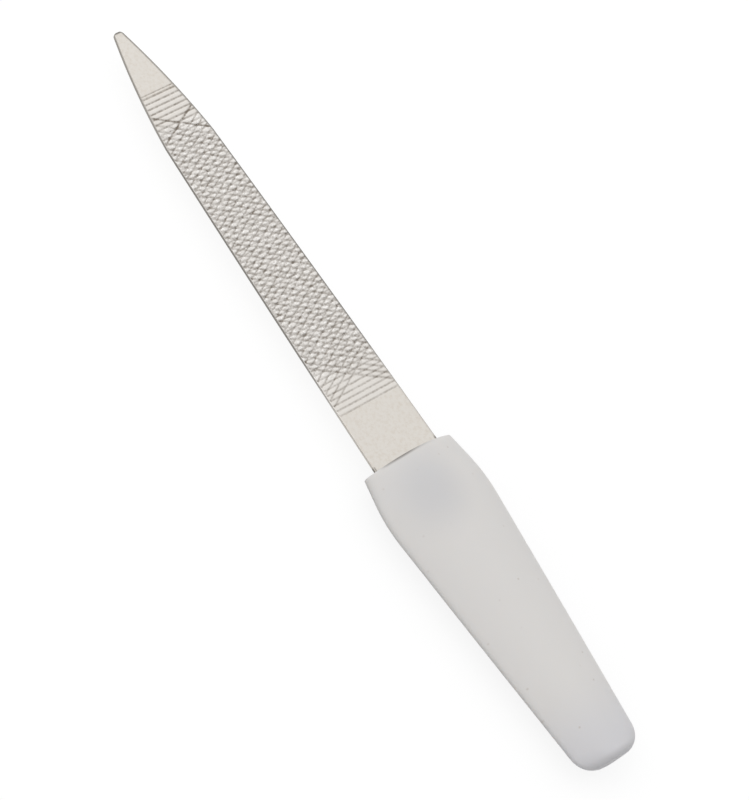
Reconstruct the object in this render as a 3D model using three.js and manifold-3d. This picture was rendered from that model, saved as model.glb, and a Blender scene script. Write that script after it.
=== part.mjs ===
// A nail file: a stamped steel blade with a tang, set into a one-piece moulded plastic handle.
// Millimetres, +Z up. +X runs from the handle to the tip, and Y runs across the blade.
// The origin is under the middle of the whole file, at the height of the handle's underside.

import * as THREE from 'three';
import { mergeVertices } from 'three/addons/utils/BufferGeometryUtils.js';
import Module from 'manifold-3d';

// Blade sizes
const bladeLength = 77.5; // from the handle's mouth to the tip
const heelWidth = 11.85; // at the mouth
const pointWidth = 8.65; // where the point begins
const pointLength = 19.8; // from there to the tip
const tipWidth = 1.45; // of the blunt tip before its corners are rounded
const tipRadius = 0.45; // of the tip's two corners
const bodyBulge = 0.11; // how far each long edge stands out past a straight line
const pointBulge = 0.43; // the same for each edge of the point
const bladeThickness = 0.5;
const bladeChamfer = 0.08; // on all the blade's long edges

// Tang sizes, inside the handle
const tangLength = 11.0;
const tangWidth = 8.0;
const tangThickness = 0.4;
const tangCornerRadius = 1.0;
const lockHoleDiameter = 3.2; // the plastic passes through this hole and locks the tang
const lockDistance = 6.0; // from the mouth to the middle of the hole
const tangRoot = 0.5; // how far the tang's outline runs on into the blade

// Handle sizes
const handleLength = 52.5;
const mouthWidth = 16.0;
const shoulderWidth = 18.7; // where flare and taper would meet if their corner weren't rounded
const buttWidth = 10.7; // at the far end, before its corners are rounded
const mouthCrown = 3.2; // rise of the domed face above the side band, at the mouth
const shoulderCrown = 3.6;
const buttCrown = 2.3;
const sideBand = 1.0; // height of the plain side wall
const shoulderDistance = 7.3; // from the mouth to the shoulder
const shoulderBlend = 3.4; // reach of the rounding on each side of the shoulder
const taperBulge = 0.05; // how far each tapered edge stands out past a straight line
const mouthChamfer = 0.2; // softened rim of the mouth
const buttCornerRadius = 3.2; // of the far end's corners, seen from above
const buttEdgeRadius = 1.2; // of the far end's edge, seen from the side

// Fits
const tangClearance = 0.15; // all round the tang in its slot, and round the lock in its hole
const seatGap = 0.15; // between the blade's shoulders and the handle's mouth
const mouthOvercut = 0.5; // how far the slot's cut starts ahead of the mouth

// Mesh fineness, in counts
const pointSteps = 9;
const bodySteps = 8;
const roundingSteps = 5;
const flareSteps = 4;
const blendSteps = 6;
const taperSteps = 10;
const crownSteps = 15;
const curveSteps = 8;

const steel = new THREE.MeshStandardMaterial({ color: 0xd9d5cf, roughness: 0.32, metalness: 1.0 });
const plastic = new THREE.MeshStandardMaterial({ color: 0xe4e4e6, roughness: 0.45, metalness: 0.0 });

const wasm = await Module();
wasm.setup();

// Evenly spaced numbers from start to end, both included.
function spread(start, end, steps) {
  return Array.from({ length: steps + 1 }, (_, i) => start + ((end - start) * i) / steps);
}

// Height of a shallow arc over its chord at a share from 0 to 1 along it.
function arcRise(share, bulge) {
  return 4 * bulge * share * (1 - share);
}

// How far a rounded corner has drawn in at a distance from the end that it leads to.
function cornerInset(distance, radius) {
  const inside = Math.max(0, radius - distance);
  return radius - Math.sqrt(radius * radius - inside * inside);
}

// Distances from the end at which a rounded corner gets its rings: even turns of a quarter circle.
function cornerDistances(radius) {
  return spread(0, Math.PI / 2, roundingSteps).map((turn) => radius * (1 - Math.cos(turn)));
}

// A closed skin over rings that share one count of points.
// Each ring has an upper row and a lower row of [y, z], both from -Y to +Y, at its own x. Rings run towards +X.
function loft(rings) {
  const rowCount = rings[0].upper.length;
  const ringCount = 2 * rowCount;
  const positions = [];
  for (const { x, upper, lower } of rings) {
    for (const [y, z] of [...upper, ...lower.toReversed()]) positions.push(x, y, z);
  }
  const triangles = [];
  const quad = (a, b, c, d) => triangles.push(a, c, b, a, d, c);
  for (let ring = 0; ring + 1 < rings.length; ring += 1) {
    const here = ring * ringCount;
    const next = here + ringCount;
    for (let i = 0; i < ringCount; i += 1) {
      const j = (i + 1) % ringCount;
      quad(here + i, here + j, next + j, next + i);
    }
  }
  const last = (rings.length - 1) * ringCount;
  for (let i = 0; i + 1 < rowCount; i += 1) {
    const below = ringCount - 1 - i;
    quad(i, below, below - 1, i + 1);
    quad(last + i, last + i + 1, last + below - 1, last + below);
  }
  const geometry = new THREE.BufferGeometry();
  geometry.setAttribute('position', new THREE.Float32BufferAttribute(positions, 3));
  geometry.setIndex(triangles);
  return geometry;
}

// The closed body of a geometry, ready to be joined or cut.
function toSolid(geometry) {
  const bare = geometry.clone();
  bare.deleteAttribute('normal');
  bare.deleteAttribute('uv');
  const merged = mergeVertices(bare, 1e-5);
  const vertProperties = Float32Array.from(merged.attributes.position.array);
  const triVerts = Uint32Array.from(merged.index.array);
  return new wasm.Manifold(new wasm.Mesh({ numProp: 3, vertProperties, triVerts }));
}

// The geometry of a joined or cut body.
function toGeometry(solid) {
  const { vertProperties, triVerts } = solid.getMesh();
  const geometry = new THREE.BufferGeometry();
  geometry.setAttribute('position', new THREE.BufferAttribute(vertProperties, 3));
  geometry.setIndex(new THREE.BufferAttribute(triVerts, 1));
  geometry.computeVertexNormals();
  return geometry;
}

// One ring of the blade: a flat strip with chamfered edges.
function bladeRing(x) {
  const halfWidth = bladeHalfWidth(x);
  const top = bladeThickness / 2;
  const row = (side) => [
    [-halfWidth, side * (top - bladeChamfer)],
    [bladeChamfer - halfWidth, side * top],
    [halfWidth - bladeChamfer, side * top],
    [halfWidth, side * (top - bladeChamfer)],
  ];
  return { x, upper: row(1), lower: row(-1) };
}

// Half the blade's width at x, measured from the mouth.
function bladeHalfWidth(x) {
  const bodyLength = bladeLength - pointLength;
  if (x <= bodyLength) {
    const share = x / bodyLength;
    return THREE.MathUtils.lerp(heelWidth, pointWidth, share) / 2 + arcRise(share, bodyBulge);
  }
  const share = (x - bodyLength) / pointLength;
  const straight = THREE.MathUtils.lerp(pointWidth, tipWidth, share) / 2;
  return straight + arcRise(share, pointBulge) - cornerInset(bladeLength - x, tipRadius);
}

// The outline of the tang as an upright prism, grown all round by a clearance, with its lock hole.
// It reaches ahead of the mouth as far as front.
function tangPrism(front, clearance, height, holeDiameter) {
  const half = tangWidth / 2 + clearance;
  const end = -tangLength - clearance;
  const radius = tangCornerRadius + clearance;
  const shape = new THREE.Shape();
  shape.moveTo(front, -half);
  shape.lineTo(front, half);
  shape.lineTo(end + radius, half);
  shape.absarc(end + radius, half - radius, radius, Math.PI / 2, Math.PI, false);
  shape.absarc(end + radius, radius - half, radius, Math.PI, 1.5 * Math.PI, false);
  shape.closePath();
  const hole = new THREE.Path();
  hole.absarc(-lockDistance, 0, holeDiameter / 2, 0, 2 * Math.PI, true);
  shape.holes.push(hole);
  const prism = new THREE.ExtrudeGeometry(shape, {
    depth: height,
    bevelEnabled: false,
    curveSegments: curveSteps,
  });
  return prism.translate(0, 0, -height / 2);
}

// The blade ahead of the mouth, lofted from heel to tip, joined to the tang behind its shoulders.
function makeBlade() {
  const bodyLength = bladeLength - pointLength;
  const stations = [
    ...spread(seatGap, bodyLength, bodySteps),
    ...spread(bodyLength, bladeLength - tipRadius, pointSteps).slice(1),
    ...cornerDistances(tipRadius).toReversed().slice(1).map((distance) => bladeLength - distance),
  ];
  const tang = tangPrism(seatGap + tangRoot, 0, tangThickness, lockHoleDiameter);
  return toSolid(loft(stations.map(bladeRing))).add(toSolid(tang));
}

// Two straight runs, from the mouth to the shoulder and on to the butt, with the corner between them rounded
// by a parabola. Gives the value at a depth behind the mouth.
function flareAndTaper(depth, mouth, shoulder, butt) {
  const flare = (shoulder - mouth) / shoulderDistance;
  const taper = (butt - shoulder) / (handleLength - shoulderDistance);
  const past = depth - shoulderDistance;
  if (past <= -shoulderBlend) return shoulder + flare * past;
  if (past >= shoulderBlend) return shoulder + taper * past;
  const into = past + shoulderBlend;
  return shoulder + flare * past + ((taper - flare) * into * into) / (4 * shoulderBlend);
}

// One ring of the handle: domed above and below, with a plain band at each side.
function handleRing(depth) {
  const rimInset = Math.max(0, mouthChamfer - depth);
  const fromButt = handleLength - depth;
  const taperShare = (depth - shoulderDistance) / (handleLength - shoulderDistance);
  const bulge = taperShare > 0 ? arcRise(taperShare, taperBulge) : 0;
  const width = flareAndTaper(depth, mouthWidth, shoulderWidth, buttWidth);
  const halfWidth = width / 2 + bulge - rimInset - cornerInset(fromButt, buttCornerRadius);
  const crown = flareAndTaper(depth, mouthCrown, shoulderCrown, buttCrown);
  const fullHeight = sideBand / 2 + crown;
  const height = fullHeight - rimInset - cornerInset(fromButt, buttEdgeRadius);
  const shrink = height / fullHeight;
  const row = (side) => spread(-1, 1, crownSteps).map((across) => [
    across * halfWidth,
    side * shrink * (sideBand / 2 + crown * (1 - across * across)),
  ]);
  return { x: -depth, upper: row(1), lower: row(-1) };
}

// The handle's rings from butt to mouth.
function handleRings() {
  const blendStart = shoulderDistance - shoulderBlend;
  const blendEnd = shoulderDistance + shoulderBlend;
  const taperEnd = handleLength - buttCornerRadius;
  const depths = [
    0,
    ...spread(mouthChamfer, blendStart, flareSteps),
    ...spread(blendStart, blendEnd, blendSteps).slice(1),
    ...spread(blendEnd, taperEnd, taperSteps).slice(1),
    ...cornerDistances(buttCornerRadius).toReversed().slice(1).map((distance) => handleLength - distance),
  ];
  return depths.toReversed().map(handleRing);
}

// The handle with the slot for the tang. The slot leaves a pillar standing that passes through the tang's hole.
function makeHandle(rings) {
  const slotHeight = tangThickness + 2 * tangClearance;
  const pillarDiameter = lockHoleDiameter - 2 * tangClearance;
  const slot = tangPrism(mouthOvercut, tangClearance, slotHeight, pillarDiameter);
  return toSolid(loft(rings)).subtract(toSolid(slot));
}

const rings = handleRings();
const restHeight = Math.max(...rings.flatMap((ring) => ring.upper.map(([, z]) => z)));

const blade = new THREE.Mesh(toGeometry(makeBlade()), steel);
blade.name = 'file_blade';

const handle = new THREE.Mesh(toGeometry(makeHandle(rings)), plastic);
handle.name = 'handle';

// The pieces are made around the middle of the mouth, and the group brings the file to its own origin.
const nailFile = new THREE.Group();
nailFile.add(blade, handle);
nailFile.position.set((handleLength - bladeLength) / 2, 0, restHeight);

export default nailFile;
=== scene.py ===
"""Looks of a nail file: a cross-cut steel blade in a moulded plastic handle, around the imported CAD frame.

Lengths in the classes are millimetres in the part's own frame: +X runs from the handle to the tip, Y runs
across the blade and +Z is up. Meshes go into Blender in metres, each with its place in its own points.
"""

import logging
import math
from dataclasses import dataclass
from enum import Enum

import bpy
import numpy as np
from mathutils import Matrix, Vector


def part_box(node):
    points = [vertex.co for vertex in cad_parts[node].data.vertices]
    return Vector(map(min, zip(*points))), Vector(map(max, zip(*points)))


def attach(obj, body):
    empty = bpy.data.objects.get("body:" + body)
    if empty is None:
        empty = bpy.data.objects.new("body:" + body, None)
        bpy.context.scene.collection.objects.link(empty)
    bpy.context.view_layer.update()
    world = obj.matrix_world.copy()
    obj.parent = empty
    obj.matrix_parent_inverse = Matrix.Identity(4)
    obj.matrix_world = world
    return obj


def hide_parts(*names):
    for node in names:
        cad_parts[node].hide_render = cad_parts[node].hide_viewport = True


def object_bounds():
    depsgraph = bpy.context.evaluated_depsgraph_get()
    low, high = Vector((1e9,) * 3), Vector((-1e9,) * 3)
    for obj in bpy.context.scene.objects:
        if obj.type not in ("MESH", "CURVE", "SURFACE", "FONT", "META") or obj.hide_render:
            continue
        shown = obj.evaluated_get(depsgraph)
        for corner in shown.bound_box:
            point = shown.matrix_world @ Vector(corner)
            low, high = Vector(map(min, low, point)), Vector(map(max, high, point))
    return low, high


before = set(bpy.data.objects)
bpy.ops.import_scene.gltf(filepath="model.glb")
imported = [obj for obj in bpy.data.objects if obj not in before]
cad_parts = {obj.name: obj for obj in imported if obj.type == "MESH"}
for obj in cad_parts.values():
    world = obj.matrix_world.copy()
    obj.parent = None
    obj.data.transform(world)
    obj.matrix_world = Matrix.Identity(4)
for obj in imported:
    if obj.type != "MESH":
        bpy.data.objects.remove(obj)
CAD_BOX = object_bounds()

LOG = logging.getLogger("nail_file")
BODY = "root"
MM = 0.001
IMAGE_SIZE = (749, 800)

Colour = tuple[float, float, float]
Triple = tuple[float, float, float]
Array = np.ndarray
Socket = bpy.types.NodeSocket
Key = str | int

FIRST_AXIS: Triple = (1.0, 0.0, 0.0)


class CadNode(Enum):
    """The CAD nodes that this script dresses."""

    BLADE = "file_blade"
    HANDLE = "handle"


class Slot(Enum):
    """The record's material slots."""

    BLADE = "blade_steel"
    HANDLE = "handle_plastic"


class Mark(Enum):
    """Levels that the meshes hold for the finishes."""

    # Painted shade in the cuts.
    CUT = "painted_cut_shade"
    # Bright cut metal with a painted highlight on the tooth tops.
    BRIGHT = "bright_cut_and_highlight"
    # Darker shear-cut edges with painted shade and a painted reflection on them.
    SHEARED = "sheared_and_shaded_edge"
    # Painted contact shadow where the mouth meets the blade.
    RIM = "mouth_rim"


class Cut(Enum):
    """The runs of parallel cuts on the blade, each with the single lead cut that starts it."""

    SQUARE_LEAD = "square lead cut"
    SQUARE = "square cuts"
    LEFT_LEAD = "left-hand lead cut"
    LEFT_HAND = "left-hand slanted cuts"
    RIGHT_LEAD = "right-hand lead cut"
    RIGHT_HAND = "right-hand slanted cuts"


def node_box(node: CadNode) -> tuple[Array, Array]:
    """The lowest and highest corner of a CAD node's box in the frame, in millimetres."""
    low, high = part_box(node.value)
    return np.array(low) / MM, np.array(high) / MM


def arc_rise(share: Array, bulge: float) -> Array:
    """Height of a shallow arc over its chord: four bulges times the share run and the share left."""
    return 4.0 * bulge * share * (1.0 - share)


def bowed(share: Array, start: float, end: float, bulge: float) -> Array:
    """Half a width that runs straight from start to end, with a shallow arc on it."""
    return (start + (end - start) * share) / 2 + arc_rise(share, bulge)


def corner_inset(distance: Array, radius: float) -> Array:
    """Inset of a quarter round near its end: radius less the root of its square less the square left."""
    left = np.clip(radius - distance, 0.0, radius)
    return radius - np.sqrt(radius**2 - left**2)


def drawn_curve(start: Array, corner: Array | float, end: Array | float, turn: Array) -> Array:
    """A curve of the second degree from start to end, drawn to a corner, by a turn from 0 to 1."""
    return (1.0 - turn) ** 2 * start + 2.0 * turn * (1.0 - turn) * corner + turn**2 * end


def corner_stations(radius: float, steps: int) -> Array:
    """Distances from an end, by even turns of a quarter circle: radius times one less the turn's cosine."""
    return radius * (1.0 - np.cos(np.linspace(0.0, math.pi / 2, steps + 1)))


def loft(name: str, rings: Array) -> bpy.types.Object:
    """Closes a skin over a stack of rings and puts it into the scene.

    Point i of ring r has the index r times the ring's count plus i. A side face joins two neighbours on one
    ring to the same two on the next. A ring runs along its upper row towards +Y and back along its lower
    row, so a cap joins point i to the point as far from the ring's end.

    Args:
        name: Name of the new piece.
        rings: Points in millimetres, as rings by points by three. The first cap faces -X and the last +X.

    Returns:
        The piece, smooth shaded, at the origin.
    """
    count, around = rings.shape[:2]
    index = np.arange(count * around).reshape(count, around)
    here, there = index[:-1], index[1:]
    sides = np.stack([here, there, np.roll(there, -1, axis=1), np.roll(here, -1, axis=1)], axis=-1)
    half = around // 2
    upper = np.arange(half - 1)
    lower = around - 1 - upper
    first = np.stack([upper, upper + 1, lower - 1, lower], axis=-1)
    last = np.stack([upper, lower, lower - 1, upper + 1], axis=-1) + index[-1, 0]
    faces = np.concatenate([sides.reshape(-1, 4), first, last])
    mesh = bpy.data.meshes.new(name)
    mesh.vertices.add(count * around)
    mesh.vertices.foreach_set("co", (rings * MM).astype(np.float32).ravel())
    mesh.loops.add(faces.size)
    mesh.loops.foreach_set("vertex_index", faces.astype(np.int32).ravel())
    mesh.polygons.add(len(faces))
    mesh.polygons.foreach_set("loop_start", np.arange(0, faces.size, 4, dtype=np.int32))
    mesh.polygons.foreach_set("use_smooth", np.ones(len(faces), dtype=bool))
    mesh.update(calc_edges=True)
    mesh.validate()
    piece = bpy.data.objects.new(name, mesh)
    bpy.context.scene.collection.objects.link(piece)
    return piece


def both_faces(along: Array, across: Array, height: Array, middle: float) -> Array:
    """Whole rings of points, from the x, y and height of their upper rows mirrored in the middle plane."""
    rows = [np.broadcast_arrays(along[:, None], across, middle + side * height) for side in (1, -1)]
    return np.hstack([np.stack(rows[0], axis=-1), np.stack(rows[1], axis=-1)[:, ::-1]])


def mark(piece: bpy.types.Object, name: Mark, levels: Array) -> None:
    """Stores a level at each point of a piece, from those of its upper rows, for its finish to read."""
    whole = np.hstack([levels, levels[:, ::-1]]).astype(np.float32)
    piece.data.attributes.new(name.value, "FLOAT", "POINT").data.foreach_set("value", whole.ravel())


def hand_over(piece: bpy.types.Object, node: CadNode) -> None:
    """Lets a piece stand for its CAD node.

    Args:
        piece: The finished piece.
        node: The CAD node that it replaces.
    """
    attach(piece, BODY)
    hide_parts(node.value)
    LOG.info("%s replaces %s: %d faces", piece.name, node.value, len(piece.data.polygons))


@dataclass(frozen=True)
class Ramp:
    """An eased change from one level to another.

    Attributes:
        low: Where the change begins.
        high: Where it ends. On meshes it may lie below its beginning.
        start: Level at the beginning and before it.
        end: Level at the end and past it.
    """

    low: float
    high: float
    start: float = 0.0
    end: float = 1.0

    def at(self, value: Array) -> Array:
        """The level at a number: by three squares less two cubes of the share run."""
        share = np.clip((value - self.low) / (self.high - self.low), 0.0, 1.0)
        return self.start + (self.end - self.start) * (share * share * (3.0 - 2.0 * share))


@dataclass(frozen=True)
class Pattern:
    """Cloudy noise that is eased between two of its levels.

    Attributes:
        grain: Size of its patches, in millimetres.
        ramp: What it gives over the noise's own level.
        detail: Octaves of finer noise in it.
        finer: Weight of the finer noise.
    """

    grain: float
    ramp: Ramp
    detail: float = 2.0
    finer: float = 0.5


class Graph:
    """A material's node tree, with short calls to add nodes and to join them."""

    def __init__(self, name: str) -> None:
        """Starts an empty material.

        Args:
            name: The material's name.
        """
        self.material = bpy.data.materials.new(name)
        self.material.use_nodes = True
        self.tree = self.material.node_tree
        self.tree.nodes.clear()

    def add(self, kind: str, output: Key, inputs: dict[Key, object], **settings: object) -> Socket:
        """Adds a node and joins or sets its inputs.

        Args:
            kind: The node's type.
            output: The output that is wanted.
            inputs: Sockets to join to its inputs, or plain values to set.
            **settings: Properties to set on the node.

        Returns:
            That output.
        """
        node = self.tree.nodes.new(kind)
        for name, value in settings.items():
            setattr(node, name, value)
        for key, value in inputs.items():
            if isinstance(value, bpy.types.NodeSocket):
                self.tree.links.new(value, node.inputs[key])
            else:
                node.inputs[key].default_value = value
        return node.outputs[output]

    def place(self) -> Socket:
        """The point's place in the piece's own frame, in metres."""
        return self.add("ShaderNodeTexCoord", "Object", {})

    def level(self, name: Mark) -> Socket:
        """A level that the mesh holds, from 0 to 1."""
        return self.add("ShaderNodeAttribute", "Fac", {}, attribute_name=name.value)

    def math(self, operation: str, *values: object) -> Socket:
        """A sum on sockets or numbers, by Blender's name of the sum."""
        return self.add("ShaderNodeMath", "Value", dict(enumerate(values)), operation=operation)

    def measure(self, operation: str, *vectors: object) -> Socket:
        """A number from vectors, by Blender's name of the sum."""
        return self.add("ShaderNodeVectorMath", "Value", dict(enumerate(vectors)), operation=operation)

    def ease(self, value: Socket, ramp: Ramp) -> Socket:
        """A number's level on a ramp."""
        inputs = dict(enumerate((value, ramp.low, ramp.high, ramp.start, ramp.end)))
        return self.add("ShaderNodeMapRange", "Result", inputs, interpolation_type="SMOOTHSTEP")

    def stretch(self, place: Socket, scale: Triple, shift: Triple = (0.0, 0.0, 0.0)) -> Socket:
        """A place that is scaled along each axis and then shifted."""
        return self.add("ShaderNodeMapping", "Vector", {"Vector": place, "Scale": scale, "Location": shift})

    def noise(self, place: Socket, grain: float, detail: float = 2.0, finer: float = 0.5) -> Socket:
        """Cloudy noise around a half: its grain in millimetres, octaves of finer noise and their weight."""
        inputs = {"Vector": place, "Scale": 1.0 / (grain * MM), "Detail": detail, "Roughness": finer}
        return self.add("ShaderNodeTexNoise", "Fac", inputs)

    def pattern(self, place: Socket, pattern: Pattern) -> Socket:
        """Noise that is eased between two of its levels."""
        noise = self.noise(place, pattern.grain, pattern.detail, pattern.finer)
        return self.ease(noise, pattern.ramp)

    def mix(self, share: Socket, first: Colour | Socket, second: Colour) -> Socket:
        """A blend of two colours, by the share of the second."""
        opaque = (*first, 1.0) if isinstance(first, tuple) else first
        return self.add("ShaderNodeMix", 2, {0: share, 6: opaque, 7: (*second, 1.0)}, data_type="RGBA")

    def bump(self, height: Socket) -> Socket:
        """A normal from a height in metres."""
        return self.add("ShaderNodeBump", "Normal", {"Strength": 1.0, "Distance": 1.0, "Height": height})

    def finish(self, shader: Socket) -> bpy.types.Material:
        """The finished material, which ends in that shader."""
        self.tree.links.new(shader, self.tree.nodes.new("ShaderNodeOutputMaterial").inputs["Surface"])
        return self.material

    def surface(self, inputs: dict[str, object]) -> bpy.types.Material:
        """The finished material, which ends in one surface shader with those inputs."""
        return self.finish(self.add("ShaderNodeBsdfPrincipled", "BSDF", inputs))


@dataclass(frozen=True)
class Waver:
    """A fixed sine that makes the cuts uneven from place to place and from cut to cut.

    Attributes:
        size: Half its swing.
        across: Radians for each millimetre across the blade.
        step: Radians from cut to cut.
    """

    size: float
    across: float
    step: float

    def at(self, y: Array, cut: Array, start: float = 0.0) -> Array:
        """The size times the sine of a start, the turn by place and the turn by the cut's count."""
        return self.size * np.sin(self.across * y + self.step * cut + start)


# Wander of the cuts as shares of their pitch, then changes of their strength as shares of it
DRIFT = Waver(size=0.04, across=0.0, step=5.1)
WEAVE = Waver(size=0.035, across=2.2, step=2.0)
STRENGTH = Waver(size=0.10, across=0.0, step=2.4)
SWELLS = (Waver(size=0.16, across=1.9, step=1.7), Waver(size=0.16, across=4.7, step=4.3))

# Share of the swells, and of the brightness with its painted highlight, that cuts have where no others
# cross them
LONE_SWELL = 0.25
LONE_BRIGHT = 0.5


@dataclass(frozen=True)
class CutRun:
    """Parallel cuts across the blade, counted from the tip towards the handle.

    Attributes:
        slant: Degrees from the file's length to the line square to the cuts.
        from_tip: Where the first cut crosses the middle line, measured from the tip.
        pitch: Step from cut to cut, square to them.
        steps: Steps from the first cut to the last.
        half_width: From the middle of a cut to its edge.
        depth: Depth of a full cut.
        painted_shade: How dark the painted shade at its bottom is, from 0 to 1.
    """

    slant: float
    from_tip: float
    pitch: float
    steps: int
    half_width: float
    depth: float
    painted_shade: float

    def profile(self, x: Array, y: Array, tip: float, ragged: Array) -> Array:
        """Works out how far into a cut each place on the blade is.

        The step count runs square to the cuts. The distance to the nearest cut is that count less its
        nearest whole number, times the pitch, and the cut's section is a raised cosine of that distance. By
        fixed sines, each cut wanders a little and is stronger or weaker from place to place. The slant's
        number also starts two of them, so that the runs differ.

        Args:
            x: Places along the file.
            y: Places across it.
            tip: The tip's x.
            ragged: How much the cuts wander, from 0 to 1.

        Returns:
            A share that is 0 outside the cuts and about 1 along their bottoms.
        """
        ahead = math.cos(math.radians(self.slant))
        aside = math.sin(math.radians(self.slant))
        step = ((tip - self.from_tip) * ahead - x * ahead - y * aside) / self.pitch
        nearest = np.clip(np.rint(step), 0, self.steps)
        wander = DRIFT.at(y, nearest, self.slant) + WEAVE.at(y, nearest)
        share = np.minimum(np.abs(step - nearest - ragged * wander) * self.pitch / self.half_width, 1.0)
        swell = sum(waver.at(y, nearest) for waver in SWELLS)
        swell = (LONE_SWELL + (1.0 - LONE_SWELL) * ragged) * swell
        strength = 1.0 + STRENGTH.at(y, nearest, self.slant) + swell
        return strength * (0.5 + 0.5 * np.cos(math.pi * share))


# The last number of each run is the painted shade at the bottom of its cuts.
CUTS: dict[Cut, CutRun] = {
    Cut.SQUARE_LEAD: CutRun(1.4, 10.88, pitch=0.876, steps=0, half_width=0.18, depth=0.03, painted_shade=0.58),
    Cut.SQUARE: CutRun(1.4, 11.39, pitch=0.8758, steps=64, half_width=0.27, depth=0.045, painted_shade=0.47),
    Cut.LEFT_LEAD: CutRun(-32.5, 16.775, pitch=0.914, steps=0, half_width=0.28, depth=0.06, painted_shade=0.92),
    Cut.LEFT_HAND: CutRun(-32.54, 18.135, pitch=0.9136, steps=41, half_width=0.34, depth=0.045, painted_shade=0.47),
    Cut.RIGHT_LEAD: CutRun(28.9, 16.99, pitch=0.972, steps=0, half_width=0.27, depth=0.06, painted_shade=0.86),
    Cut.RIGHT_HAND: CutRun(28.85, 18.56, pitch=0.9717, steps=40, half_width=0.19, depth=0.045, painted_shade=0.57),
}


@dataclass(frozen=True)
class NickelSteel:
    """Satin nickel plate on the blade: warm light grey, with painted shade down in the cuts and on the
    edges, and a painted highlight on the tooth tops.

    Attributes:
        land, crest, glint: Colours of the plain faces, the tooth tops, lighter as fresh cut metal and as a
            painted highlight, and painted glints on them.
        stain, pit, sheared: Colours of faint mottling, of the painted shade in the cuts, and of the edges:
            darker shear-cut steel with painted shade and a painted reflection of dark surroundings.
        sheared_share: How much of their colour the edges take.
        mottling, glints: Patterns of the stain and of the painted glints.
        patches: Pattern of stronger and weaker painted shade in the cuts.
        flecks: Pattern of flecks of painted shade where cuts cross.
        streak_grain: Width of the fine streaks along the file, in millimetres.
        streak_squeeze: Their width as a share of their length.
        satin_grain, grain_height: Size and height of the satin grain, in millimetres.
        roughness, streak_roughness: Roughness of the plain faces, and its spread over the streaks.
        cut_roughness, sheared_roughness: What is added to it in the cuts and on the shear-cut edges.
    """

    land: Colour = (0.672, 0.641, 0.597)
    crest: Colour = (0.735, 0.71, 0.68)
    glint: Colour = (0.92, 0.905, 0.885)
    stain: Colour = (0.62, 0.574, 0.516)
    pit: Colour = (0.205, 0.175, 0.145)
    sheared_and_shaded: Colour = (0.22, 0.205, 0.185)
    sheared_share: Ramp = Ramp(0.0, 1.0, end=0.9)
    mottling: Pattern = Pattern(0.6, Ramp(0.42, 0.70), detail=5.0, finer=0.75)
    patches: Pattern = Pattern(0.4, Ramp(0.3, 0.7, 0.65, 1.35))
    flecks: Pattern = Pattern(0.24, Ramp(0.54, 0.72, end=0.3), detail=1.0)
    glints: Pattern = Pattern(0.3, Ramp(0.52, 0.68, end=0.8), detail=1.0)
    streak_grain: float = 0.35
    streak_squeeze: float = 0.12
    satin_grain: float = 0.16
    grain_height: float = 0.0012
    roughness: float = 0.30
    streak_roughness: float = 0.12
    cut_roughness: float = 0.12
    sheared_roughness: float = 0.3

    def make(self) -> bpy.types.Material:
        """Makes the material, which reads the mesh's cut, brightness and edge levels.

        Returns:
            The material.
        """
        graph = Graph("nickel_steel")
        place = graph.place()
        cut = graph.level(Mark.CUT)
        bright = graph.level(Mark.BRIGHT)
        sheared_and_shaded = graph.level(Mark.SHEARED)
        crossed = graph.ease(bright, Ramp(LONE_BRIGHT, 1.0))
        # Painted shade: dark flecks where cuts cross, and patchy dark down in the cuts.
        flecks = graph.math("MULTIPLY", graph.pattern(place, self.flecks), crossed)
        # Painted highlight: bright glints where cuts cross.
        glints = graph.math("MULTIPLY", graph.pattern(place, self.glints), crossed)
        shaded_cuts = graph.math("MULTIPLY", cut, graph.pattern(place, self.patches))
        colour = graph.mix(graph.pattern(place, self.mottling), self.land, self.stain)
        # Tooth tops lighter, as fresh cut metal and as a painted highlight.
        colour = graph.mix(bright, colour, self.crest)
        colour = graph.mix(flecks, colour, self.pit)
        colour = graph.mix(glints, colour, self.glint)
        colour = graph.mix(shaded_cuts, colour, self.pit)
        # Edges darker as shear-cut steel, with painted shade and a painted reflection of dark surroundings.
        colour = graph.mix(graph.ease(sheared_and_shaded, self.sheared_share), colour, self.sheared_and_shaded)
        squeezed = graph.stretch(place, (self.streak_squeeze, 1.0, 1.0))
        streaks = graph.noise(squeezed, self.streak_grain, detail=3.0)
        smoothest = self.roughness - self.streak_roughness / 2
        roughness = graph.math("MULTIPLY_ADD", streaks, self.streak_roughness, smoothest)
        roughness = graph.math("MULTIPLY_ADD", cut, self.cut_roughness, roughness)
        roughness = graph.math("MULTIPLY_ADD", sheared_and_shaded, self.sheared_roughness, roughness)
        height = graph.math("MULTIPLY", graph.noise(place, self.satin_grain), self.grain_height * MM)
        height = graph.math("MULTIPLY_ADD", streaks, self.grain_height * MM, height)
        varied = {"Base Color": colour, "Roughness": roughness, "Normal": graph.bump(height)}
        return graph.surface({"Metallic": 1.0} | varied)


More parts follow.
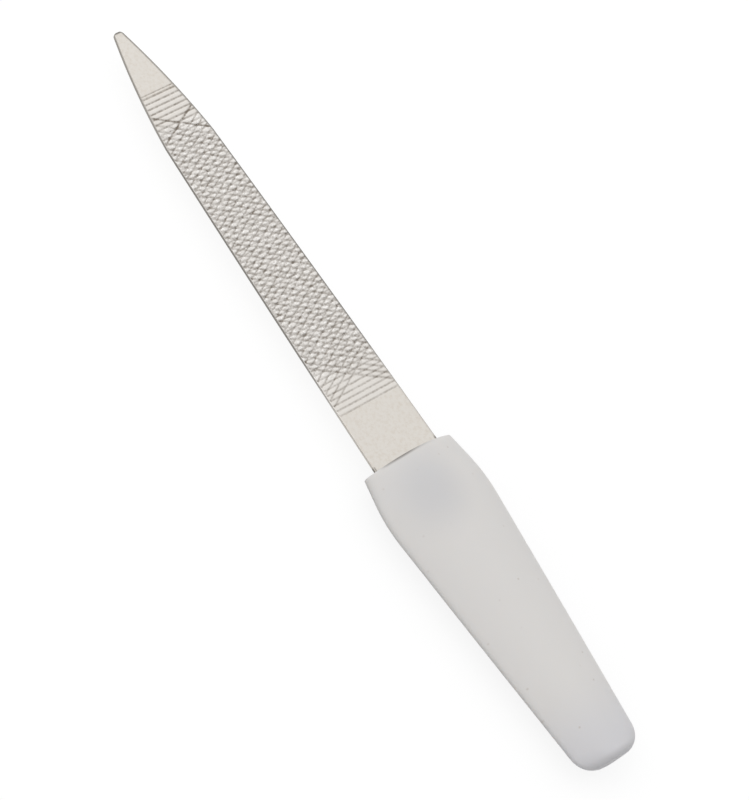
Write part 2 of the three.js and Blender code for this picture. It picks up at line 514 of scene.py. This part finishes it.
@dataclass(frozen=True)
class MouldedPlastic:
    """Pale grey moulded plastic, slightly see-through, with the tang as a soft shade near the mouth.

    Attributes:
        body, shade, cool: Main colour, and those over the tang and towards the butt.
        speck, grime: Colours of small specks and of the painted contact shadow where mouth and blade meet.
        contact_shadow_share: How much of its colour that painted shadow takes.
        cool_full, cool_end: From the butt to where its colour is full and where it ends, in millimetres.
        shade_behind, shade_aside: The shade's middle, from the mouth and the middle line, in millimetres.
        shade_reach, shade_width: Half the shade's length and half its width, in millimetres.
        shade_fade: Its level from its middle, 0, to its edge, 1.
        speck_spacing: Distance from speck to speck, in millimetres.
        speck_fade: A speck's level outwards, in shares of that distance.
        speck_choice: Which specks show, by a random number from 0 to 1.
        texture_grain, texture_height: Size and height of the satin texture, in millimetres.
        roughness, texture_roughness: Roughness of the surface, and its spread over the texture.
        depth_weight, depth_reach: Share of the light that goes in, and its reach in millimetres.
        depth_radius: How far each colour of it goes, as shares of that reach.
        gloss: Level of the surface's reflection.
    """

    body: Colour = (0.714, 0.697, 0.681)
    shade: Colour = (0.628, 0.622, 0.626)
    cool: Colour = (0.651, 0.645, 0.663)
    speck: Colour = (0.48, 0.42, 0.37)
    contact_shadow: Colour = (0.16, 0.145, 0.13)
    contact_shadow_share: Ramp = Ramp(0.0, 1.0, end=0.85)
    cool_full: float = 1.0
    cool_end: float = 14.0
    shade_behind: float = 6.1
    shade_aside: float = 1.9
    shade_reach: float = 9.2
    shade_width: float = 7.8
    shade_fade: Ramp = Ramp(0.1, 1.0, start=1.0, end=0.0)
    speck_spacing: float = 4.5
    speck_fade: Ramp = Ramp(0.015, 0.05, start=0.5, end=0.0)
    speck_choice: Ramp = Ramp(0.35, 1.0)
    texture_grain: float = 0.22
    texture_height: float = 0.0016
    roughness: float = 0.44
    texture_roughness: float = 0.16
    depth_weight: float = 0.5
    depth_radius: Triple = (1.0, 0.92, 0.86)
    depth_reach: float = 1.6
    gloss: float = 0.45

    def make(self, mouth: float, butt: float) -> bpy.types.Material:
        """Makes the material, which reads the mesh's rim level for the painted contact shadow.

        Args:
            mouth: The mouth's x in millimetres.
            butt: The butt's x in millimetres.

        Returns:
            The material.
        """
        graph = Graph("moulded_plastic")
        place = graph.place()
        cool_fade = Ramp((butt + self.cool_full) * MM, (butt + self.cool_end) * MM, start=1.0, end=0.0)
        near_butt = graph.ease(graph.measure("DOT_PRODUCT", place, FIRST_AXIS), cool_fade)
        scale = (1.0 / (self.shade_reach * MM), 1.0 / (self.shade_width * MM), 0.0)
        shift = ((self.shade_behind - mouth) / self.shade_reach, -self.shade_aside / self.shade_width, 0.0)
        from_shade = graph.measure("LENGTH", graph.stretch(place, scale, shift))
        over_tang = graph.ease(from_shade, self.shade_fade)
        cells = {"Vector": place, "Scale": 1.0 / (self.speck_spacing * MM)}
        outwards = graph.add("ShaderNodeTexVoronoi", "Distance", cells, voronoi_dimensions="2D")
        chance = graph.measure("DOT_PRODUCT", outwards.node.outputs["Color"], FIRST_AXIS)
        chosen = graph.ease(chance, self.speck_choice)
        specks = graph.math("MULTIPLY", graph.ease(outwards, self.speck_fade), chosen)
        colour = graph.mix(near_butt, self.body, self.cool)
        colour = graph.mix(over_tang, colour, self.shade)
        colour = graph.mix(specks, colour, self.speck)
        # Painted contact shadow along the mouth's rim.
        colour = graph.mix(graph.ease(graph.level(Mark.RIM), self.contact_shadow_share), colour, self.contact_shadow)
        texture = graph.noise(place, self.texture_grain, detail=3.0, finer=0.6)
        smoothest = self.roughness - self.texture_roughness / 2
        roughness = graph.math("MULTIPLY_ADD", texture, self.texture_roughness, smoothest)
        height = graph.math("MULTIPLY", texture, self.texture_height * MM)
        constants = {
            "Subsurface Weight": self.depth_weight,
            "Subsurface Radius": self.depth_radius,
            "Subsurface Scale": self.depth_reach * MM,
            "Specular IOR Level": self.gloss,
        }
        varied = {"Base Color": colour, "Roughness": roughness, "Normal": graph.bump(height)}
        return graph.surface(constants | varied)


@dataclass(frozen=True)
class CutField:
    """The cut part of the blade's faces: how deep it is, its painted shade, and its brightness with a
    painted highlight, from place to place.

    Attributes:
        tip: The tip's x.
        bite: Share of their full depth that the cuts have, from the last one at the heel.
        crossing: Share of the crossing of the cuts, along x.
        crossing_end: What is left of it from the slanted lead cuts on.
        bright_start: Share of the brightness, with its painted highlight, between square cuts, from the
            last one.
        bright_end: What is left of it from the first one on.
        lone_shade: Factor on the square cuts' painted shade, from the slanted lead cuts on, where none
            cross.
    """

    tip: float
    bite: Ramp = Ramp(0.0, 12.0, start=0.65)
    crossing: Ramp = Ramp(-1.5, 7.0)
    crossing_end: Ramp = Ramp(1.0, -1.0)
    bright_start: Ramp = Ramp(-0.4, 0.4)
    bright_end: Ramp = Ramp(0.2, -0.8)
    lone_shade: Ramp = Ramp(-0.5, 1.5, start=1.0, end=1.45)

    def first(self) -> float:
        """The x at which the first square cut, towards the tip, crosses the middle line."""
        return self.tip - CUTS[Cut.SQUARE].from_tip

    def last(self) -> float:
        """The x at which the last square cut, at the heel, crosses it."""
        square = CUTS[Cut.SQUARE]
        return self.first() - square.steps * square.pitch

    def meeting(self) -> float:
        """The x at which the slanted lead cuts cross it."""
        return self.tip - CUTS[Cut.LEFT_LEAD].from_tip

    def crossed(self, x: Array) -> Array:
        """Share of the crossing of cuts: it eases up past the lead cuts and down towards the heel."""
        return self.crossing.at(x) * self.crossing_end.at(x - self.meeting())

    def brightness(self, x: Array) -> Array:
        """Share of bright, freshly cut metal with a painted highlight on it: lower between square cuts
        alone, full where cuts cross.
        """
        alone = self.bright_start.at(x - self.last()) * self.bright_end.at(x - self.first())
        return LONE_BRIGHT * alone + (1.0 - LONE_BRIGHT) * self.crossed(x)

    def relief(self, x: Array, y: Array) -> Array:
        """Depth of the face below its plain level: all runs of cuts add up, deepest where they cross."""
        full = sum(run.depth * run.profile(x, y, self.tip, self.crossed(x)) for run in CUTS.values())
        return self.bite.at(x - self.last()) * full

    def painted_shade(self, x: Array, y: Array) -> Array:
        """Works out the painted shade in the cuts.

        Where cuts cross, each one darkens only what the others leave clear, so the result is one less the
        product of what each leaves clear.

        Args:
            x: Places along the file.
            y: Places across it.

        Returns:
            Levels from 0 to 1.
        """
        weight = {Cut.SQUARE: self.lone_shade.at(x - self.meeting())}
        ragged = self.crossed(x)
        clear = [
            1.0 - weight.get(cut, 1.0) * run.painted_shade * run.profile(x, y, self.tip, ragged)
            for cut, run in CUTS.items()
        ]
        return 1.0 - np.prod(np.stack(clear), axis=0)


@dataclass(frozen=True)
class EdgeWearAndShade:
    """How dark the blade's edges are along the file: darker shear-cut steel, with painted shade and a
    painted reflection of dark surroundings on it.

    Attributes:
        tip: The tip's x.
        heel: The x of the blade's shoulders.
        level: Level along x, faint beside the plain heel.
        point_loss: What it loses towards the point, by the distance from the tip.
        clean: Share of it that is missing on the +Y edge's chamfer, along x.
        clean_loss: What that share loses towards the point, by the distance from the tip.
        face_share: Share of its level that the -Y edge has on the face beside it.
        spot: Level of the painted shadow at the shoulders, where the blade goes into the slot, by the
            distance from them.
        spot_share: Share of it that the spots have on the face.
        tip_end: Level of the tip's own end, all across the blade, by the distance from the tip.
    """

    tip: float
    heel: float
    level: Ramp = Ramp(-6.0, 12.0, start=0.4)
    point_loss: Ramp = Ramp(25.0, 14.0, end=0.3)
    clean: Ramp = Ramp(-4.0, 12.0, start=0.8, end=0.45)
    clean_loss: Ramp = Ramp(25.0, 14.0, end=0.4)
    face_share: float = 0.45
    spot: Ramp = Ramp(1.2, 0.6)
    spot_share: float = 0.8
    tip_end: Ramp = Ramp(0.45, 0.1)

    def side(self, x: Array, sign: int) -> Array:
        """Works out the darkness of one edge, partly painted shade, from its wall over its chamfer and just
        onto the face.

        Args:
            x: Places along the file, one row each.
            sign: 1 for the edge on +Y and -1 for the one on -Y.

        Returns:
            Levels from 0 to 1, four for each place: two on the wall, one on the chamfer, one on the face.
        """
        from_tip = self.tip - x
        spot = self.spot.at(x - self.heel)
        wall = np.maximum(self.level.at(x) - self.point_loss.at(from_tip), spot)
        face = self.spot_share * spot
        if sign < 0:
            return np.hstack([wall, wall, wall, np.maximum(face, self.face_share * wall)])
        clean = self.clean.at(x) - self.clean_loss.at(from_tip)
        return np.hstack([wall, wall, wall * (1.0 - clean), face])


@dataclass
class FileBlade:
    """The stamped steel strip: a tapering blade with a blunt point, cut faces and a tang at its back.

    Attributes:
        mouth: The handle mouth's x, from which the outline is measured.
        heel_width, point_width: Widths at the mouth and where the point begins.
        point_length: From there to the tip.
        tip_width, tip_radius: Width of the blunt tip, and radius that rounds its corners.
        body_bulge, point_bulge: How far the edges of body and point stand out past a straight line.
        chamfer: Broken edge round the faces.
        edge_band: Width beside the chamfer over which the dark edge with its painted shade fades, by the
            distance from the tip.
        tang_width, tang_thickness: Sizes of the tang.
        seat_gap: Gap between the blade's shoulders and the mouth.
        spot_zone: Length ahead of the shoulders with rings close enough for their dark spots.
        spot_rings, plain_rings, point_rings: Rings in that zone, on to the cut faces and on to the tip.
        step_along, margin_steps: Step of the rings along the cut faces, and steps past the end cuts.
        corner_steps: Steps round the tip's corners.
        columns: Points across each face.
    """

    mouth: float
    heel_width: float = 11.85
    point_width: float = 8.65
    point_length: float = 19.8
    tip_width: float = 1.45
    tip_radius: float = 0.45
    body_bulge: float = 0.11
    point_bulge: float = 0.43
    chamfer: float = 0.08
    edge_band: Ramp = Ramp(25.0, 12.0, start=0.16, end=0.288)
    tang_width: float = 8.0
    tang_thickness: float = 0.4
    seat_gap: float = 0.15
    spot_zone: float = 1.4
    spot_rings: int = 10
    plain_rings: int = 14
    step_along: float = 0.09
    margin_steps: int = 5
    point_rings: int = 40
    corner_steps: int = 8
    columns: int = 58

    def __post_init__(self) -> None:
        """Takes the strip's ends, thickness and middle from the frame."""
        low, high = node_box(CadNode.BLADE)
        self.tip = float(high[0])
        self.tang_end = float(low[0])
        self.thickness = float(high[2] - low[2])
        self.middle = float(high[2] + low[2]) / 2
        self.heel = self.mouth + self.seat_gap
        self.field = CutField(self.tip)
        self.wear_and_shade = EdgeWearAndShade(self.tip, self.heel)

    def half_width(self, x: Array) -> Array:
        """Works out half the blade's width.

        It is a straight taper with a shallow arc on it along the body, and the same again along the point,
        less the tip's rounded corners.

        Args:
            x: Places along the file.

        Returns:
            Half the width at each place.
        """
        body = self.tip - self.mouth - self.point_length
        from_mouth = x - self.mouth
        wide = bowed(from_mouth / body, self.heel_width, self.point_width, self.body_bulge)
        past = (from_mouth - body) / self.point_length
        narrow = bowed(past, self.point_width, self.tip_width, self.point_bulge)
        narrow = narrow - corner_inset(self.tip - x, self.tip_radius)
        return np.where(from_mouth <= body, wide, narrow)

    def stations(self) -> Array:
        """Picks the places along the blade that get a ring.

        They are close together on the cut faces, beside the mouth and round the tip's corners.

        Returns:
            The places' x.
        """
        margin = self.margin_steps * self.step_along
        first = self.tip - CUTS[Cut.SQUARE_LEAD].from_tip + margin
        last = self.field.last() - margin
        spot_end = self.heel + self.spot_zone
        corner = self.tip - corner_stations(self.tip_radius, self.corner_steps)[::-1]
        return np.concatenate([
            [self.heel, self.heel + self.chamfer / 4],
            np.linspace(self.heel + self.chamfer, spot_end, self.spot_rings)[:-1],
            np.linspace(spot_end, last, self.plain_rings)[:-1],
            np.linspace(last, first, round((first - last) / self.step_along))[:-1],
            np.linspace(first, corner[0], self.point_rings)[:-1],
            corner[:-1],
        ])

    def build(self) -> None:
        """Makes the blade's piece, marks and dresses it, and lets it stand for its node.

        Across a face the places are even shares of its width inside the edge band. A face lies half the
        thickness from the middle less its relief, and the chamfer's outer edge lies one chamfer lower. Two
        rings of the tang go before the blade's rings, and one drawn in by the chamfer goes after them.
        """
        x = self.stations()[:, None]
        edge = self.half_width(x)
        corner = edge - self.chamfer
        y = np.linspace(-1.0, 1.0, self.columns)[None, :] * (corner - self.edge_band.at(self.tip - x))
        relief = self.field.relief(x, y)
        plain = np.zeros_like(edge)
        across = np.hstack([-edge, -edge, -corner, y, corner, edge, edge])
        wall = np.hstack([plain + 2 * self.chamfer, plain + self.chamfer, plain])
        sunk = np.hstack([wall, relief, wall[:, ::-1]])
        tang = np.linspace(-1.0, 1.0, across.shape[1])[None, :] * self.tang_width / 2
        end = np.sign(across[-1:]) * np.maximum(np.abs(across[-1:]) - self.chamfer, 0.0)
        along = np.concatenate([[self.tang_end, self.heel], x[:, 0], [self.tip]])
        across = np.concatenate([tang, tang, across, end])
        last = self.thickness / 2 - np.maximum(sunk[-1:], self.chamfer)
        tang_height = np.full_like(tang, self.tang_thickness / 2)
        height = np.concatenate([tang_height, tang_height, self.thickness / 2 - sunk, last])
        piece = loft("cut_blade", both_faces(along, across, height, self.middle))
        added_rings = (2, 1)
        wall_points = (wall.shape[1], wall.shape[1])
        # Painted shade in the cuts, which the cut mark carries.
        mark(piece, Mark.CUT, np.pad(self.field.painted_shade(x, y), (added_rings, wall_points)))
        # Bright cut metal with its painted highlight, which the bright mark carries.
        mark(piece, Mark.BRIGHT, np.broadcast_to(self.field.brightness(along[:, None]), across.shape))
        # Dark edges: partly darker shear-cut steel, partly painted shade, with a painted shadow at the
        # shoulders where the blade goes into the slot.
        sheared_and_shaded = [self.wear_and_shade.side(x, -1), np.zeros_like(y[:, 1:-1]), self.wear_and_shade.side(x, 1)[:, ::-1]]
        sheared_and_shaded = np.maximum(np.hstack(sheared_and_shaded), self.wear_and_shade.tip_end.at(self.tip - x))
        mark(piece, Mark.SHEARED, np.pad(sheared_and_shaded, (added_rings, (0, 0)), mode="edge"))
        piece.data.materials.append(NickelSteel().make())
        hand_over(piece, CadNode.BLADE)


@dataclass(frozen=True)
class MouthLine:
    """The painted contact shadow where the handle's mouth meets the blade.

    Attributes:
        reach: How far behind the mouth it fades out.
        faint: Level all along it; its strongest place has 1.
        strong_middle: The y of that place.
        strong_reach: Reach of the stronger stretch to each side.
        middle: The y of the line's own middle.
        ends: Share of it that shows, by the distance past the blade's half width.
    """

    reach: float = 0.6
    faint: float = 0.3
    strong_middle: float = 2.5
    strong_reach: float = 2.9
    middle: float = 0.7
    ends: Ramp = Ramp(0.3, -1.7)

    def level(self, depth: Array, y: Array, blade_half: float) -> Array:
        """Works out how dark the painted shadow is: a bell curve over the faint level, gone past the
        blade's edges.

        Args:
            depth: Distances behind the mouth, one row each.
            y: Places across the handle.
            blade_half: Half the blade's width.

        Returns:
            Levels from 0 to 1.
        """
        bell = np.exp(-(((y - self.strong_middle) / self.strong_reach) ** 2))
        line = self.faint + (1.0 - self.faint) * bell
        line = line * self.ends.at(np.abs(y - self.middle) - blade_half)
        return Ramp(0.0, self.reach, start=1.0, end=0.0).at(depth) * line


@dataclass
class MouldedHandle:
    """The one-piece handle: domed on both faces, flared from mouth to shoulder and tapered to its butt.

    Attributes:
        mouth_width: Width at the mouth.
        shoulder_width: Width where flare and taper would meet if their corner weren't rounded.
        butt_width: Width at the far end before its corners are rounded.
        mouth_crown, shoulder_crown, butt_crown: Rise of the domed face above the side band at each.
        side_band: Height of the plain side wall.
        shoulder_distance: From the mouth to the shoulder.
        shoulder_blend: Reach of the rounding on each side of the shoulder.
        taper_bulge: How far each tapered edge stands out past a straight line.
        rim_radius: Rounding of the mouth's rim.
        roll_reach, roll_drop: How far the rolled side edge reaches over the domed face and down the band.
        butt_corner_radius: Radius of the butt's corners, seen from above.
        butt_edge_radius: Radius of the butt's edge, seen from the side.
        slot_width, slot_height, slot_depth: Sizes of the slot for the tang.
        face_share: Size of the ring on the mouth's face, as a share of the rim.
        sharp_angle: Degrees between faces past which their edge is shaded sharp.
        butt_steps, rim_steps: Steps round the butt's corners and round the rim.
        taper_rings, flare_rings, line_rings: Rings along the taper, the flare and the line at the mouth.
        dome_points, roll_points: Points across the domed face, ends included, and over each rolled edge.
        line: The painted contact shadow at the mouth.
    """

    mouth_width: float = 16.0
    shoulder_width: float = 18.7
    butt_width: float = 10.9
    mouth_crown: float = 3.2
    shoulder_crown: float = 3.6
    butt_crown: float = 2.3
    side_band: float = 1.0
    shoulder_distance: float = 7.3
    shoulder_blend: float = 3.4
    taper_bulge: float = 0.05
    rim_radius: float = 0.08
    roll_reach: float = 0.7
    roll_drop: float = 0.42
    butt_corner_radius: float = 3.2
    butt_edge_radius: float = 1.2
    slot_width: float = 8.3
    slot_height: float = 0.7
    slot_depth: float = 11.15
    face_share: float = 0.97
    sharp_angle: float = 60.0
    butt_steps: int = 18
    taper_rings: int = 44
    flare_rings: int = 36
    line_rings: int = 4
    rim_steps: int = 5
    dome_points: int = 61
    roll_points: int = 11
    line: MouthLine = MouthLine()

    def __post_init__(self) -> None:
        """Takes the handle's ends and middle and the blade's width from the frame."""
        low, high = node_box(CadNode.HANDLE)
        self.mouth = float(high[0])
        self.length = float(high[0] - low[0])
        self.middle = float(high[2] + low[2]) / 2
        self.box_half = (high - low)[1:] / 2
        low, high = node_box(CadNode.BLADE)
        self.blade_half = float(high[1] - low[1]) / 2

    def flare_and_taper(self, depth: Array, mouth: float, shoulder: float, butt: float) -> Array:
        """Follows two straight runs whose corner is rounded by a parabola.

        Args:
            depth: Distances behind the mouth.
            mouth: Value at the mouth.
            shoulder: Value where the runs would meet.
            butt: Value at the butt.

        Returns:
            The value at each depth.
        """
        flare = (shoulder - mouth) / self.shoulder_distance
        taper = (butt - shoulder) / (self.length - self.shoulder_distance)
        past = depth - self.shoulder_distance
        into = np.clip(past + self.shoulder_blend, 0.0, 2 * self.shoulder_blend)
        beyond = np.maximum(past - self.shoulder_blend, 0.0)
        return shoulder + flare * past + (taper - flare) * (into**2 / (4 * self.shoulder_blend) + beyond)

    def end_inset(self, depth: Array, butt_radius: float) -> Array:
        """How far the rounded rim and a rounding of that radius at the butt draw in."""
        return corner_inset(depth, self.rim_radius) + corner_inset(self.length - depth, butt_radius)

    def half_width(self, depth: Array) -> Array:
        """Works out half the handle's width.

        It is the flare and the taper, with a shallow arc on the taper, less the rounded rim and corners.

        Args:
            depth: Distances behind the mouth.

        Returns:
            Half the width at each depth.
        """
        width = self.flare_and_taper(depth, self.mouth_width, self.shoulder_width, self.butt_width)
        run = np.clip((depth - self.shoulder_distance) / (self.length - self.shoulder_distance), 0.0, 1.0)
        return width / 2 + arc_rise(run, self.taper_bulge) - self.end_inset(depth, self.butt_corner_radius)

    def depths(self) -> Array:
        """Picks the distances behind the mouth that get a ring, close together round rim and butt.

        Returns:
            The distances, from butt to mouth.
        """
        butt = self.length - corner_stations(self.butt_corner_radius, self.butt_steps)
        rim = corner_stations(self.rim_radius, self.rim_steps)[::-1]
        shoulder_end = self.shoulder_distance + self.shoulder_blend
        return np.concatenate([
            butt[:-1],
            np.linspace(butt[-1], shoulder_end, self.taper_rings)[:-1],
            np.linspace(shoulder_end, self.line.reach, self.flare_rings)[:-1],
            np.linspace(self.line.reach, rim[0], self.line_rings)[:-1],
            rim,
        ])

    def upper_rows(self, depth: Array) -> tuple[Array, Array]:
        """Shapes the upper half of the handle's rings.

        The domed face rises from the side band by the crown times one less the squared share across. The
        rolled edge beside it is a curve of the second degree from the face to the side wall, drawn to their
        corner. The whole is drawn in where it would leave the node's box.

        Args:
            depth: Each ring's distance behind the mouth, one row each.

        Returns:
            Each point's y and its height over the middle plane, as rings by points.
        """
        half_width = self.half_width(depth)
        crown = self.flare_and_taper(depth, self.mouth_crown, self.shoulder_crown, self.butt_crown)
        full = self.side_band / 2 + crown
        shrink = (full - self.end_inset(depth, self.butt_edge_radius)) / full
        inner = 1.0 - self.roll_reach / half_width
        share = np.linspace(-1.0, 1.0, self.dome_points)[None, 1:-1] * inner
        dome = shrink * (self.side_band / 2 + crown * (1.0 - share**2))
        start = shrink * (self.side_band / 2 + crown * (1.0 - inner**2))
        corner = shrink * self.side_band / 2
        wall = corner - shrink * self.roll_drop
        turn = np.linspace(0.0, 1.0, self.roll_points)[None, :]
        roll_across = half_width * drawn_curve(inner, 1.0, 1.0, turn)
        roll_height = drawn_curve(start, corner, wall, turn)
        across = np.hstack([-roll_across[:, ::-1], share * half_width, roll_across])
        height = np.hstack([roll_height[:, ::-1], dome, roll_height])
        across = across * min(1.0, self.box_half[0] / across.max())
        height = height * min(1.0, self.box_half[1] / height.max())
        return across, height

    def build(self) -> None:
        """Makes the handle's piece, marks and dresses it, and lets it stand for its node.

        A smaller ring on the mouth's face and two rings of the slot follow the mouth's ring.
        """
        depth = self.depths()[:, None]
        across, height = self.upper_rows(depth)
        # Painted contact shadow behind the mouth's rim, which the rim mark carries.
        rim = self.line.level(depth, across, self.blade_half)
        slot = np.linspace(-1.0, 1.0, across.shape[1])[None, :] * self.slot_width / 2
        roof = np.full_like(slot, self.slot_height / 2)
        face_and_slot = [0.0, 0.0, self.slot_depth]
        along = self.mouth - np.concatenate([depth[:, 0], face_and_slot])
        across = np.concatenate([across, self.face_share * across[-1:], slot, slot])
        height = np.concatenate([height, self.face_share * height[-1:], roof, roof])
        piece = loft("moulded_handle", both_faces(along, across, height, self.middle))
        piece.data.set_sharp_from_angle(angle=math.radians(self.sharp_angle))
        mark(piece, Mark.RIM, np.pad(rim, ((0, len(face_and_slot)), (0, 0))))
        piece.data.materials.append(MouldedPlastic().make(self.mouth, self.mouth - self.length))
        hand_over(piece, CadNode.HANDLE)


@dataclass(frozen=True)
class PhotoCamera:
    """A camera at the photograph's viewing angle.

    Attributes:
        azimuth: Degrees round the part; 0 looks along +Y.
        elevation: Degrees above the horizon.
        roll: Degrees that the camera is turned about its own line of sight.
        distance: From the eye to the point aimed at, in millimetres.
        aside, above: That point's place from the part's middle, to the camera's right and up, likewise.
        aim_height: Height of the part's middle over the floor, in millimetres.
        focal_pixels: Focal length in pixels of the photograph.
        sensor: Sensor length along the longer side, in millimetres.
        near_clip: Nearest distance that is drawn, in millimetres.
    """

    azimuth: float = 201.973
    elevation: float = 56.285
    roll: float = 37.061
    distance: float = 543.2
    aside: float = 2.19
    above: float = -1.761
    aim_height: float = 4.0
    focal_pixels: float = 3764.0
    sensor: float = 36.0
    near_clip: float = 10.0

    def place(self) -> None:
        """Puts the camera into the scene and makes it the scene's own."""
        turn, rise, roll = (math.radians(angle) for angle in (self.azimuth, self.elevation, self.roll))
        outwards = math.cos(rise)
        forward = Vector((-math.sin(turn) * outwards, math.cos(turn) * outwards, -math.sin(rise)))
        level = Vector((math.cos(turn), math.sin(turn), 0.0))
        upright = level.cross(forward)
        right = math.cos(roll) * level + math.sin(roll) * upright
        up = math.cos(roll) * upright - math.sin(roll) * level
        aim = Vector((0.0, 0.0, self.aim_height))
        eye = self.aside * right + self.above * up - self.distance * forward + aim
        data = bpy.data.cameras.new("photo_camera")
        data.sensor_width = self.sensor
        data.lens = self.focal_pixels / max(IMAGE_SIZE) * self.sensor
        data.clip_start = self.near_clip * MM
        camera = bpy.data.objects.new("photo_camera", data)
        turned = Matrix((right, up, -forward)).transposed().to_4x4()
        camera.matrix_world = Matrix.Translation(eye * MM) @ turned
        bpy.context.scene.collection.objects.link(camera)
        bpy.context.scene.camera = camera


@dataclass(frozen=True)
class SoftBox:
    """A flat soft lamp that faces the part.

    Attributes:
        name: Name of the lamp.
        centre: Its middle, in metres.
        size: Its width and length, in metres.
        level: Brightness of its face, where 1 is white.
    """

    name: str
    centre: Triple
    size: tuple[float, float]
    level: float

    def place(self) -> None:
        """Puts the lamp into the scene. Its power is its level times its area times pi."""
        data = bpy.data.lights.new(self.name, "AREA")
        data.shape = "RECTANGLE"
        data.size, data.size_y = self.size
        data.energy = self.level * math.pi * self.size[0] * self.size[1]
        lamp = bpy.data.objects.new(self.name, data)
        turned = (-Vector(self.centre)).to_track_quat("-Z", "Y").to_matrix().to_4x4()
        lamp.matrix_world = Matrix.Translation(self.centre) @ turned
        lamp.visible_camera = False
        bpy.context.scene.collection.objects.link(lamp)


@dataclass(frozen=True)
class Studio:
    """A white sweep of floor under soft lamps and a pale grey room.

    Attributes:
        floor_reach, floor_lines: Half the floor's length in metres, and lines of its grid each way.
        floor_colour: Colour of the floor.
        floor_lift: Light added to the floor where it is seen directly or in a reflection.
        room: Brightness of the room around.
        lamps: The soft lamps.
    """

    floor_reach: float = 12.0
    floor_lines: int = 3
    floor_colour: Colour = (0.165, 0.165, 0.165)
    floor_lift: float = 0.856
    room: float = 0.42
    lamps: tuple[SoftBox, ...] = (
        SoftBox("overhead_box", (0.15, 0.10, 1.05), (2.7, 2.7), 0.27),
        SoftBox("top_box", (0.25, -0.55, 1.05), (1.3, 1.3), 0.39),
        SoftBox("side_box", (1.05, -0.60, 0.67), (1.0, 1.0), 0.44),
        SoftBox("tip_key", (0.90, 0.45, 1.05), (1.4, 1.4), 1.03),
        SoftBox("near_fill", (-0.80, 1.30, 0.28), (1.6, 0.5), 2.2),
        SoftBox("far_fill", (-0.10, -1.50, 0.35), (1.6, 0.6), 1.19),
    )

    def build(self) -> None:
        """Builds the floor, the lamps and the room, and sets the plain view transform."""
        self.lay_floor()
        for lamp in self.lamps:
            lamp.place()
        world = bpy.data.worlds.new("room")
        world.use_nodes = True
        background = world.node_tree.nodes["Background"]
        background.inputs["Color"].default_value = (1.0, 1.0, 1.0, 1.0)
        background.inputs["Strength"].default_value = self.room
        bpy.context.scene.world = world
        bpy.context.scene.view_settings.view_transform = "Standard"

    def lay_floor(self) -> None:
        """Lays the floor at the part's lowest point, as a flat grid on two parameters."""
        spread = np.linspace(-self.floor_reach, self.floor_reach, self.floor_lines)
        x, y = np.meshgrid(spread, spread, indexing="ij")
        points = np.stack([x, y, np.full_like(x, CAD_BOX[0].z)], axis=-1).reshape(-1, 3)
        index = np.arange(x.size).reshape(x.shape)
        corners = [index[:-1, :-1], index[1:, :-1], index[1:, 1:], index[:-1, 1:]]
        faces = np.stack(corners, axis=-1).reshape(-1, 4)
        mesh = bpy.data.meshes.new("floor")
        mesh.from_pydata(points.tolist(), [], faces.tolist())
        floor = bpy.data.objects.new("floor", mesh)
        floor.data.materials.append(self.floor_finish())
        bpy.context.scene.collection.objects.link(floor)

    def floor_finish(self) -> bpy.types.Material:
        """Makes the floor's finish: matt, with light added for rays from the eye, from gloss or through it.

        Returns:
            The finish.
        """
        graph = Graph("white_floor")
        seen = graph.add("ShaderNodeLightPath", "Is Camera Ray", {})
        for ray in ("Is Glossy Ray", "Is Transmission Ray"):
            seen = graph.math("MAXIMUM", seen, graph.add("ShaderNodeLightPath", ray, {}))
        matt = graph.add("ShaderNodeBsdfDiffuse", "BSDF", {"Color": (*self.floor_colour, 1.0)})
        strength = graph.math("MULTIPLY", seen, self.floor_lift)
        lift = graph.add("ShaderNodeEmission", "Emission", {"Strength": strength})
        return graph.finish(graph.add("ShaderNodeAddShader", "Shader", {0: matt, 1: lift}))


def main() -> None:
    """Builds camera, studio, handle and blade in order and reports each piece."""
    logging.basicConfig(level=logging.INFO, format="%(name)s: %(message)s")
    PhotoCamera().place()
    Studio().build()
    handle = MouldedHandle()
    handle.build()
    FileBlade(mouth=handle.mouth).build()


if __name__ == "__main__":
    main()
